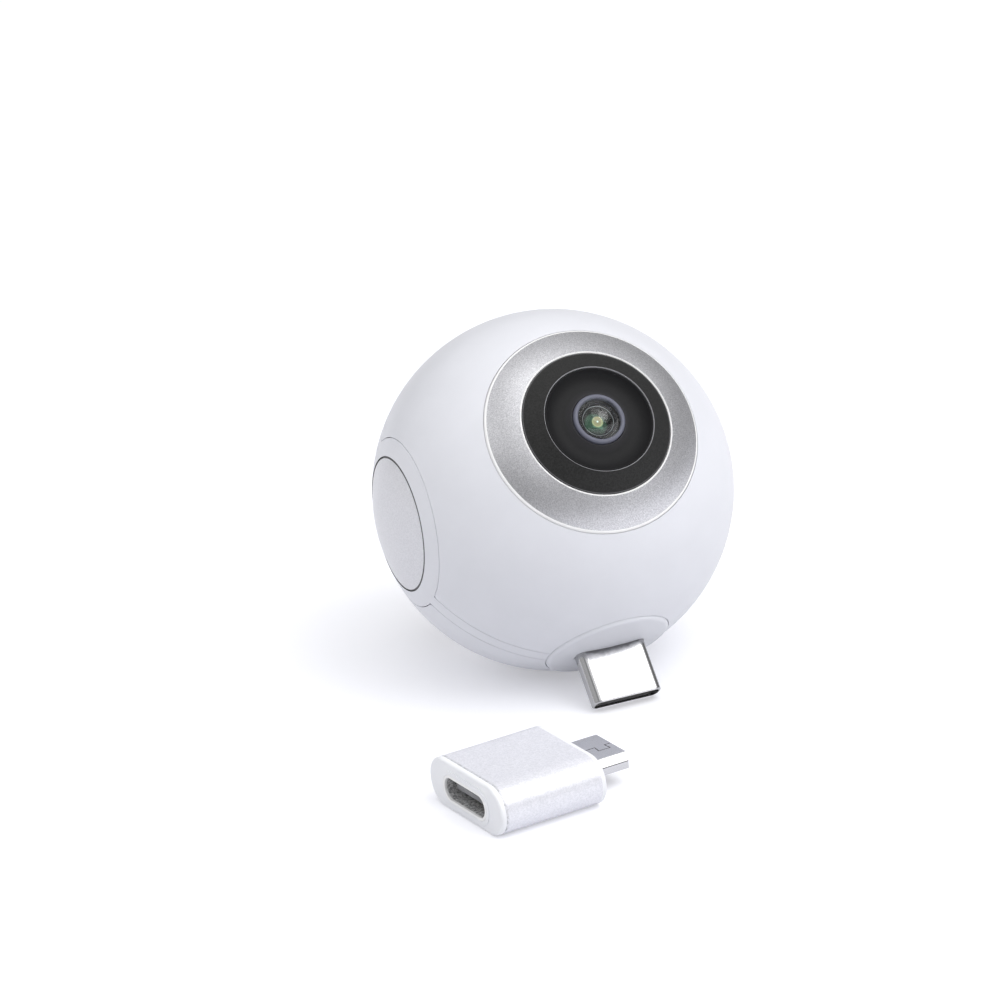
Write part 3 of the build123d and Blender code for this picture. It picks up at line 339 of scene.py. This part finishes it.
def black_ring():
    """Matt black ring with a thin painted highlight in light grey round the bowl, and a faint grey
    outer edge.
    """
    highlight_edge_radius = 6.29 * mm
    grey_line_radius = 8.38 * mm
    grey_line_half_width = 0.06 * mm
    finish = Finish("matt_black_ring")
    grain = finish.grains(fine_grain)
    colours = finish.ramp(grain, [(0.0, 0.006), (1.0, 0.018)])
    distance = finish.from_axis(lens_direction)
    # Painted highlight: a light grey line on the ring's inner edge round the bowl
    edge_highlight = finish.within(distance, highlight_edge_radius, 0.03 * mm)
    offset = finish.maths("ABSOLUTE", finish.maths("SUBTRACT", distance, grey_line_radius))
    line = finish.within(offset, grey_line_half_width, 0.02 * mm)
    with_edge = finish.mix(edge_highlight, colours, (0.34, 0.34, 0.36))
    finish.put("Base Color", finish.mix(line, with_edge, (0.10, 0.10, 0.105)))
    finish.put("Roughness", 0.5)
    finish.put("Specular IOR Level", 0.35)
    finish.put("Normal", finish.bump(grain, 0.4, 0.006 * mm))
    return finish


def bowl_black():
    """Dark satin bowl with painted shade that darkens it towards its rim, so it is lighter where it
    climbs to the lens.
    """
    rim_shade_start = 3.0 * mm
    rim_shade_width = 2.2 * mm
    finish = Finish("bowl_black")
    # Painted shade: darker towards the rim of the bowl
    rim_painted_shade = finish.beyond(finish.from_axis(lens_direction), rim_shade_start, rim_shade_width)
    finish.put("Base Color", finish.ramp(rim_painted_shade, [
        (0.0, (0.040, 0.039, 0.043)), (0.4, (0.018, 0.018, 0.019)), (1.0, (0.008, 0.008, 0.009)),
    ]))
    finish.put("Roughness", finish.spread(finish.noise(4000.0), 0.66, 0.76))
    finish.put("Specular IOR Level", 0.25)
    finish.put("Normal", finish.bump(finish.noise(11000.0), 0.3, 0.003 * mm))
    return finish


def coated_lens():
    """Inner lens under the dome: dark and green, with a painted highlight, white, in its middle,
    inside an amber ring.
    """
    finish = Finish("coated_lens")
    distance = finish.beyond(finish.from_axis(lens_direction), 0.0, 2.0 * mm)
    # Painted highlight: a small white spot in the middle of the lens
    finish.put("Base Color", finish.ramp(distance, [
        (0.0, (0.8, 0.8, 0.85)), (0.03, (0.8, 0.8, 0.85)), (0.07, (0.26, 0.14, 0.08)),
        (0.24, (0.30, 0.19, 0.09)), (0.28, (0.45, 0.34, 0.18)), (0.31, (0.20, 0.16, 0.07)),
        (0.34, (0.004, 0.008, 0.005)),
    ]))
    finish.put("Roughness", finish.spread(finish.noise(2000.0), 0.03, 0.06))
    finish.put("Specular IOR Level", 0.8)
    finish.put("Specular Tint", (0.45, 0.95, 0.65))
    return finish


def glass(name, colour, index=1.5, coat_index=1.8):
    """Clear glass with a faint tint and a coating."""
    polish = 0.01
    finish = Finish(name)
    tints = [(0.3, colour), (0.7, shaded(colour, 0.96))]
    finish.put("Base Color", finish.ramp(finish.noise(300.0), tints))
    finish.put("Roughness", polish)
    finish.put("IOR", index)
    finish.put("Transmission Weight", 1.0)
    finish.put("Coat Weight", 0.7)
    finish.put("Coat IOR", coat_index)
    finish.put("Coat Roughness", polish)
    return finish


def baffle_black():
    """Black cone between the lenses whose narrow edge is turned bright."""
    bright_edge = 1.78 * mm
    finish = Finish("baffle_black")
    edge = finish.within(finish.from_axis(lens_direction), bright_edge, 0.02 * mm)
    grain = finish.ramp(finish.noise(fine_grain), [(0.3, 0.006), (0.7, 0.010)])
    finish.put("Base Color", finish.mix(edge, grain, (0.34, 0.36, 0.38)))
    finish.put("Roughness", 0.5)
    finish.put("Specular IOR Level", 0.12)
    return finish


def socket_finish():
    """Speckled steel inside the socket, with a painted highlight, in white, on its lip in front of
    the end cap.
    """
    lip_highlight_end = -6.3 * mm
    finish = Finish("socket_finish")
    # Painted highlight: the lip is white and not metal
    lip_highlight = finish.within(finish.from_adapter(adapter_direction), lip_highlight_end, 0.1 * mm)
    speckle = finish.noise(3000.0, detail=5.0, roughness=0.8)
    steel = finish.ramp(speckle, [(0.40, (0.30, 0.30, 0.31)), (0.60, (1.0, 1.0, 1.0))])
    finish.put("Base Color", finish.mix(lip_highlight, steel, (1.0, 1.0, 1.0)))
    finish.put("Metallic", finish.mix(lip_highlight, 0.4, 0.0))
    finish.put("Roughness", 0.35)
    finish.put("Normal", finish.bump(speckle, 0.5, 0.02 * mm))
    return finish


def plug_steel():
    """Drawn steel of the ball's plug, with painted shade at its root and on its narrow sides, and
    unevenly worn gloss.
    """
    root_shade_reach = 20.6 * mm
    root_shade_fade = 1.0 * mm
    shaded_side_start = 3.2 * mm
    finish = Finish("plug_steel")
    from_ball = finish.vector_maths("SUBTRACT", finish.place(), ball_centre)
    wear_and_shade_noise = finish.noise(1800.0, detail=4.0)
    uneven = finish.maths("MULTIPLY", wear_and_shade_noise, 0.6 * mm)
    reach = finish.maths("ADD", finish.vector_maths("LENGTH", from_ball), uneven)
    # Painted shade: the steel darkens towards its root at the boot, along an uneven line
    tone = finish.ramp(finish.beyond(reach, root_shade_reach, root_shade_fade), [
        (0.0, (0.16, 0.16, 0.165)), (0.25, (0.38, 0.38, 0.40)),
        (0.6, (0.64, 0.64, 0.65)), (1.0, (0.80, 0.79, 0.80)),
    ])
    # Painted shade on the plug's narrow sides
    from_middle = finish.maths("ABSOLUTE", finish.place_along("X"))
    side = finish.beyond(from_middle, shaded_side_start, 0.2 * mm)
    finish.put("Base Color", finish.mix(side, tone, (0.42, 0.42, 0.43)))
    finish.put("Metallic", 1.0)
    finish.put("Roughness", finish.spread(wear_and_shade_noise, 0.12, 0.2))
    finish.put("Normal", finish.bump(finish.noise(fine_grain), 0.3, 0.002 * mm))
    return finish


def small_plug_steel():
    """Folded steel of the adapter's plug, with light and shade painted by face: a grey top, a
    painted highlight in white on the slope, and painted shade in the fold under it and on the lower
    side.
    """
    foot = 1.9 * mm
    steel_height = 1.8 * mm
    top_half_width = 2.9 * mm
    shaded_lower_side = (0.55, 0.55, 0.57)
    fold_painted_shade = (0.10, 0.10, 0.11)
    slope_painted_highlight = (1.0, 1.0, 1.0)
    finish = Finish("small_plug_steel")
    height = finish.beyond(finish.place_along("Z"), foot, steel_height)
    # Painted light and shade by face: highlight on the slope, shade in the fold and on the lower
    # side
    tone = finish.ramp(height, [
        (0.0, shaded_lower_side), (0.44, (0.58, 0.58, 0.60)), (0.45, fold_painted_shade), (0.49, fold_painted_shade),
        (0.50, slope_painted_highlight), (0.975, slope_painted_highlight), (0.985, (0.69, 0.69, 0.71)),
    ])
    across = finish.maths("ABSOLUTE", finish.from_adapter(adapter_side))
    on_top = finish.within(across, top_half_width, 0.02 * mm)
    groove = finish.maths("MULTIPLY", on_top, finish.within(height, 0.995, 0.01))
    finish.put("Base Color", finish.mix(groove, tone, (0.20, 0.20, 0.21)))
    finish.put("Metallic", 1.0)
    finish.put("Roughness", finish.spread(finish.noise(3000.0), 0.17, 0.27))
    finish.put("Normal", finish.bump(finish.noise(fine_grain), 0.3, 0.002 * mm))
    return finish


white_skin = (0.81, 0.818, 0.868)
skin_roughness = 0.42
skin_coat = 0.1

board_green = moulded("board_green", (0.02, 0.11, 0.05), 0.35, mottle=0.15, coat=0.3)
cable_film = moulded("cable_film", (0.36, 0.15, 0.03), 0.35, mottle=0.1)
black_plastic = moulded("black_plastic", (0.02, 0.02, 0.02), 0.45, mottle=0.1)
black_anodised = metal("black_anodised", (0.03, 0.03, 0.03), 0.45)
chip_face = moulded("chip_face", (0.04, 0.035, 0.06), 0.2, mottle=0.2, coat=0.4)
dark_steel = metal("dark_steel", (0.25, 0.25, 0.26), 0.35)
gold = metal("gold_contacts", (0.83, 0.58, 0.22), 0.25)
pearl_cap = moulded("pearl_cap", (0.95, 0.96, 1.0), skin_roughness, coat=skin_coat)
pearl_button = button_face()
front_glass = glass("front_glass", (0.97, 0.99, 0.98), index=1.03, coat_index=1.55)
lens_under_dome = coated_lens()
baffle_finish = baffle_black()

# Finish of each node, where the front and rear pieces share one
finishes = {
    "shell": moulded("white_satin_shell", white_skin, skin_roughness, coat=skin_coat),
    "bezel_ring": blasted_ring(),
    "surround_ring": black_ring(),
    "lens_dish": bowl_black(),
    "lens_barrel": black_anodised,
    "retaining_ring": moulded("lilac_lens_ring", (0.13, 0.135, 0.18), 0.5, mottle=0.05),
    "dome_glass": front_glass,
    "middle_lens": lens_under_dome,
    "aperture_stop": black_anodised,
    "inner_lens": glass("inner_glass", (0.95, 0.95, 0.95)),
    "lens_holder": black_plastic,
    "infrared_filter": glass("filter_glass", (0.6, 0.85, 0.9)),
    "image_sensor": chip_face,
    "sensor_board": board_green,
    "sensor_bracket": metal("cast_grey", (0.55, 0.56, 0.57), 0.5, mottle=0.1),
    "sensor_flex": cable_film,
    "centre_band": band_with_button_hole(),
    "main_board": board_green,
    "shield_can": metal("sheet_steel", (0.60, 0.60, 0.60), 0.3),
    "board_chips": chip_face,
    "board_connectors": black_plastic,
    "frame_screws": dark_steel,
    "shell_screws": dark_steel,
    "button_cap": pearl_button,
    "switch_plunger": black_plastic,
    "switch_body": black_plastic,
    "button_board": board_green,
    "button_flex": cable_film,
    "plug_boot": moulded("white_pad", (0.79, 0.80, 0.85), skin_roughness, coat=skin_coat),
    "plug_shell": plug_steel(),
    "plug_insulator": black_plastic,
    "plug_contacts": gold,
    "adapter_housing": adapter_body(),
    "adapter_end_cap": pearl_cap,
    "adapter_tail_cap": pearl_cap,
    "receptacle_shell": socket_finish(),
    "receptacle_tongue": moulded(
        "grey_tongue", (0.22, 0.22, 0.23), 0.4, grain_scale=4000.0, mottle=0.3
    ),
    "receptacle_contacts": gold,
    "adapter_board": board_green,
    "micro_plug_shell": small_plug_steel(),
    "micro_plug_core": black_plastic,
    "micro_plug_contacts": gold,
    "micro_plug_latches": metal("latch_steel", (0.85, 0.85, 0.88), 0.3),
}
for name, piece in node_objects.items():
    finish = finishes[name.removeprefix("front_").removeprefix("rear_")]
    piece.data.materials.clear()
    piece.data.materials.append(finish.material)


# Helpers for the pieces that this script makes
crease_angle = math.radians(40.0)
lens_facets = 96


def facing(axis):
    """Turn that points a primitive's own axis this way."""
    return axis.to_track_quat("Z", "Y").to_euler()


def settled(name):
    """The primitive just added, named and with its place and turn put into its mesh."""
    piece = bpy.context.object
    piece.name = name
    bpy.ops.object.transform_apply(location=True, rotation=True, scale=True)
    return piece


def cut_off_below(point, axis):
    """Keep what lies past a plane of the piece in edit mode, and leave the cut open."""
    bpy.ops.mesh.select_all(action="SELECT")
    bpy.ops.mesh.bisect(plane_co=point, plane_no=axis, clear_inner=True)


def thicken(piece, thickness):
    wall = piece.modifiers.new("wall", "SOLIDIFY")
    wall.thickness = thickness
    wall.offset = -1.0
    bpy.ops.object.modifier_apply(modifier="wall")


def round_edges(piece, width, segments, least_angle=None):
    rim = piece.modifiers.new("rim", "BEVEL")
    rim.width = width
    rim.segments = segments
    if least_angle is not None:
        rim.angle_limit = least_angle
    bpy.ops.object.modifier_apply(modifier="rim")


def polish(piece, finish):
    bpy.ops.object.shade_smooth_by_angle(angle=crease_angle)
    piece.data.materials.append(finish.material)


# Button cap, a little fuller than the ball's own surface
button_cap_radius = 7.6 * mm
button_edge_height = 18.97 * mm
button_curve_radius = 18.1 * mm
button_skirt = 1.0 * mm
button_edge_round = 0.45 * mm
button_edge_steps = 6
button_meridians = 160
button_parallels = 240


def full_button_cap(name, axis, finish):
    """Domed cap cut from a ball, with a skirt, a closed underside and a rounded edge."""
    bpy.ops.object.select_all(action="DESELECT")
    sink = math.sqrt(button_curve_radius ** 2 - button_cap_radius ** 2)
    middle = ball_centre + axis * (button_edge_height - sink)
    bpy.ops.mesh.primitive_uv_sphere_add(
        segments=button_meridians, ring_count=button_parallels, radius=button_curve_radius,
        location=middle, rotation=facing(axis),
    )
    cap = settled(name)
    bpy.ops.object.mode_set(mode="EDIT")
    cut_off_below(middle + axis * sink, axis)
    bpy.ops.mesh.select_mode(type="EDGE")
    bpy.ops.mesh.select_all(action="DESELECT")
    bpy.ops.mesh.select_non_manifold()
    bpy.ops.mesh.extrude_region_move(TRANSFORM_OT_translate={"value": -axis * button_skirt})
    bpy.ops.mesh.edge_face_add()
    bpy.ops.mesh.select_all(action="SELECT")
    bpy.ops.mesh.normals_make_consistent(inside=False)
    bpy.ops.object.mode_set(mode="OBJECT")
    round_edges(cap, button_edge_round, button_edge_steps, crease_angle)
    polish(cap, finish)
    return cap


button_piece = full_button_cap("domed_button_cap", button_direction, pearl_button)
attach(button_piece, "button")
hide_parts("button_cap")

# Lenses with a smooth polished face, in the place of the plain solids
dome_radius = 2.9 * mm
dome_tip = 21.352 * mm
dome_edge_radius = 2.42 * mm
dome_thickness = 0.6 * mm
under_lens_radius = 3.53 * mm
under_lens_tip = 19.1 * mm
under_lens_edge_radius = 1.97 * mm
under_lens_thickness = 0.3 * mm


def polished_cap(name, axis, sphere_radius, tip, edge_radius, thickness, finish):
    """Solid lens cut from a small ball, with its tip this far from the middle of the camera."""
    bpy.ops.object.select_all(action="DESELECT")
    middle = ball_centre + axis * (tip - sphere_radius)
    bpy.ops.mesh.primitive_uv_sphere_add(
        segments=lens_facets, ring_count=lens_facets, radius=sphere_radius,
        location=middle, rotation=facing(axis),
    )
    cap = settled(name)
    edge_height = math.sqrt(sphere_radius ** 2 - edge_radius ** 2)
    bpy.ops.object.mode_set(mode="EDIT")
    cut_off_below(middle + axis * edge_height, axis)
    bpy.ops.object.mode_set(mode="OBJECT")
    thicken(cap, thickness)
    polish(cap, finish)
    return cap


# Black cone between the dome and the lens under it
baffle_foot = 18.9 * mm
baffle_height = 0.45 * mm
baffle_foot_radius = 1.98 * mm
baffle_edge_radius = 1.76 * mm
baffle_wall = 0.06 * mm


def baffle_cone(name, axis):
    """Thin cone that stands on the dome's seat and narrows round the lens below."""
    bpy.ops.object.select_all(action="DESELECT")
    bpy.ops.mesh.primitive_cone_add(
        vertices=lens_facets, radius1=baffle_foot_radius, radius2=baffle_edge_radius,
        depth=baffle_height, end_fill_type="NOTHING",
        location=ball_centre + axis * (baffle_foot + baffle_height / 2.0), rotation=facing(axis),
    )
    cone = settled(name)
    thicken(cone, baffle_wall)
    round_edges(cone, baffle_wall / 4.0, 2)
    polish(cone, baffle_finish)
    return cone


for side, axis in (("front", lens_direction), ("rear", -lens_direction)):
    cone = baffle_cone(f"{side}_baffle_cone", axis)
    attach(cone, "camera")
    dome = polished_cap(
        f"{side}_polished_dome", axis, dome_radius, dome_tip,
        dome_edge_radius, dome_thickness, front_glass,
    )
    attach(dome, "camera")
    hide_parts(f"{side}_dome_glass")
    under_lens = polished_cap(
        f"{side}_polished_under_lens", axis, under_lens_radius, under_lens_tip,
        under_lens_edge_radius, under_lens_thickness, lens_under_dome,
    )
    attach(under_lens, "camera")
    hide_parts(f"{side}_middle_lens")


# Floor: white to the camera, and it keeps the object's shadow
floor_size = 12.0
floor_glow_seen = 0.37
floor_fade_start = 0.35
floor_fade_end = 1.2


def floor_finish():
    """Pale floor that turns plain white far from the object."""
    finish = Finish("white_floor")
    finish.put("Base Color", finish.ramp(finish.noise(3.0), [
        (0.3, (0.753, 0.758, 0.788)), (0.7, (0.758, 0.763, 0.793)),
    ]))
    finish.put("Roughness", 0.9)
    finish.put("Specular IOR Level", 0.1)
    rays = finish.nodes.new("ShaderNodeLightPath").outputs
    mirrored = finish.maths("MAXIMUM", rays["Is Glossy Ray"], rays["Is Transmission Ray"])
    seen = finish.maths("MAXIMUM", rays["Is Camera Ray"], mirrored)
    near_glow = finish.spread(seen, 0.0, floor_glow_seen)
    from_object = finish.vector_maths("LENGTH", finish.place())
    far = finish.spread(
        from_object, 0.0, 1.0 - floor_glow_seen, floor_fade_start, floor_fade_end
    )
    far_glow = finish.maths("MULTIPLY", far, rays["Is Camera Ray"])
    finish.put("Emission Color", (0.96, 0.96, 1.0))
    finish.put("Emission Strength", finish.maths("ADD", near_glow, far_glow))
    return finish


bpy.ops.mesh.primitive_plane_add(size=floor_size, location=(0.0, 0.0, 0.0))
floor = bpy.context.object
floor.name = "white_floor"
floor.data.materials.append(floor_finish().material)

# Sky: dim at the horizon, brighter overhead, and white where the camera sees it
world = bpy.data.worlds.new("studio")
bpy.context.scene.world = world
world.use_nodes = True
sky = Nodes(world.node_tree)
ambient = sky.nodes["Background"]
sky_parts = sky.nodes.new("ShaderNodeSeparateXYZ")
sky.feed(sky_parts.inputs["Vector"], sky.nodes.new("ShaderNodeTexCoord").outputs["Generated"])
sky_tone = sky.ramp(sky_parts.outputs["Z"], [(0.0, 0.28), (0.35, 0.28), (0.65, 0.42), (0.95, 0.75)])
backdrop = sky.nodes.new("ShaderNodeLightPath").outputs["Is Camera Ray"]
sky.feed(ambient.inputs["Color"], sky.mix(backdrop, sky_tone, 1.0))
sky.feed(ambient.inputs["Strength"], 1.0)

# Lamps: a large one overhead, a smaller one in front of it, and a fill from the left
aim_point = Vector((0.0, 0.0, 15.0 * mm))


def softbox(name, place, size, power, turn=0.0):
    """Square lamp that faces the object, turned about its own axis."""
    bpy.ops.object.light_add(type="AREA", location=place)
    lamp = bpy.context.object
    lamp.name = name
    lamp.data.shape = "SQUARE"
    lamp.data.size = size
    lamp.data.energy = power
    toward = (aim_point - Vector(place)).to_track_quat("-Z", "Y").to_matrix()
    lamp.rotation_euler = (toward @ Matrix.Rotation(math.radians(turn), 3, "Z")).to_euler()


softbox("overhead_softbox", (0.22, -0.34, 0.71), size=1.3, power=4.6, turn=45.0)
softbox("key_softbox", (0.28, -0.43, 0.62), size=0.52, power=2.0, turn=45.0)
softbox("left_softbox", (-0.75, 0.25, 0.30), size=1.2, power=2.1)
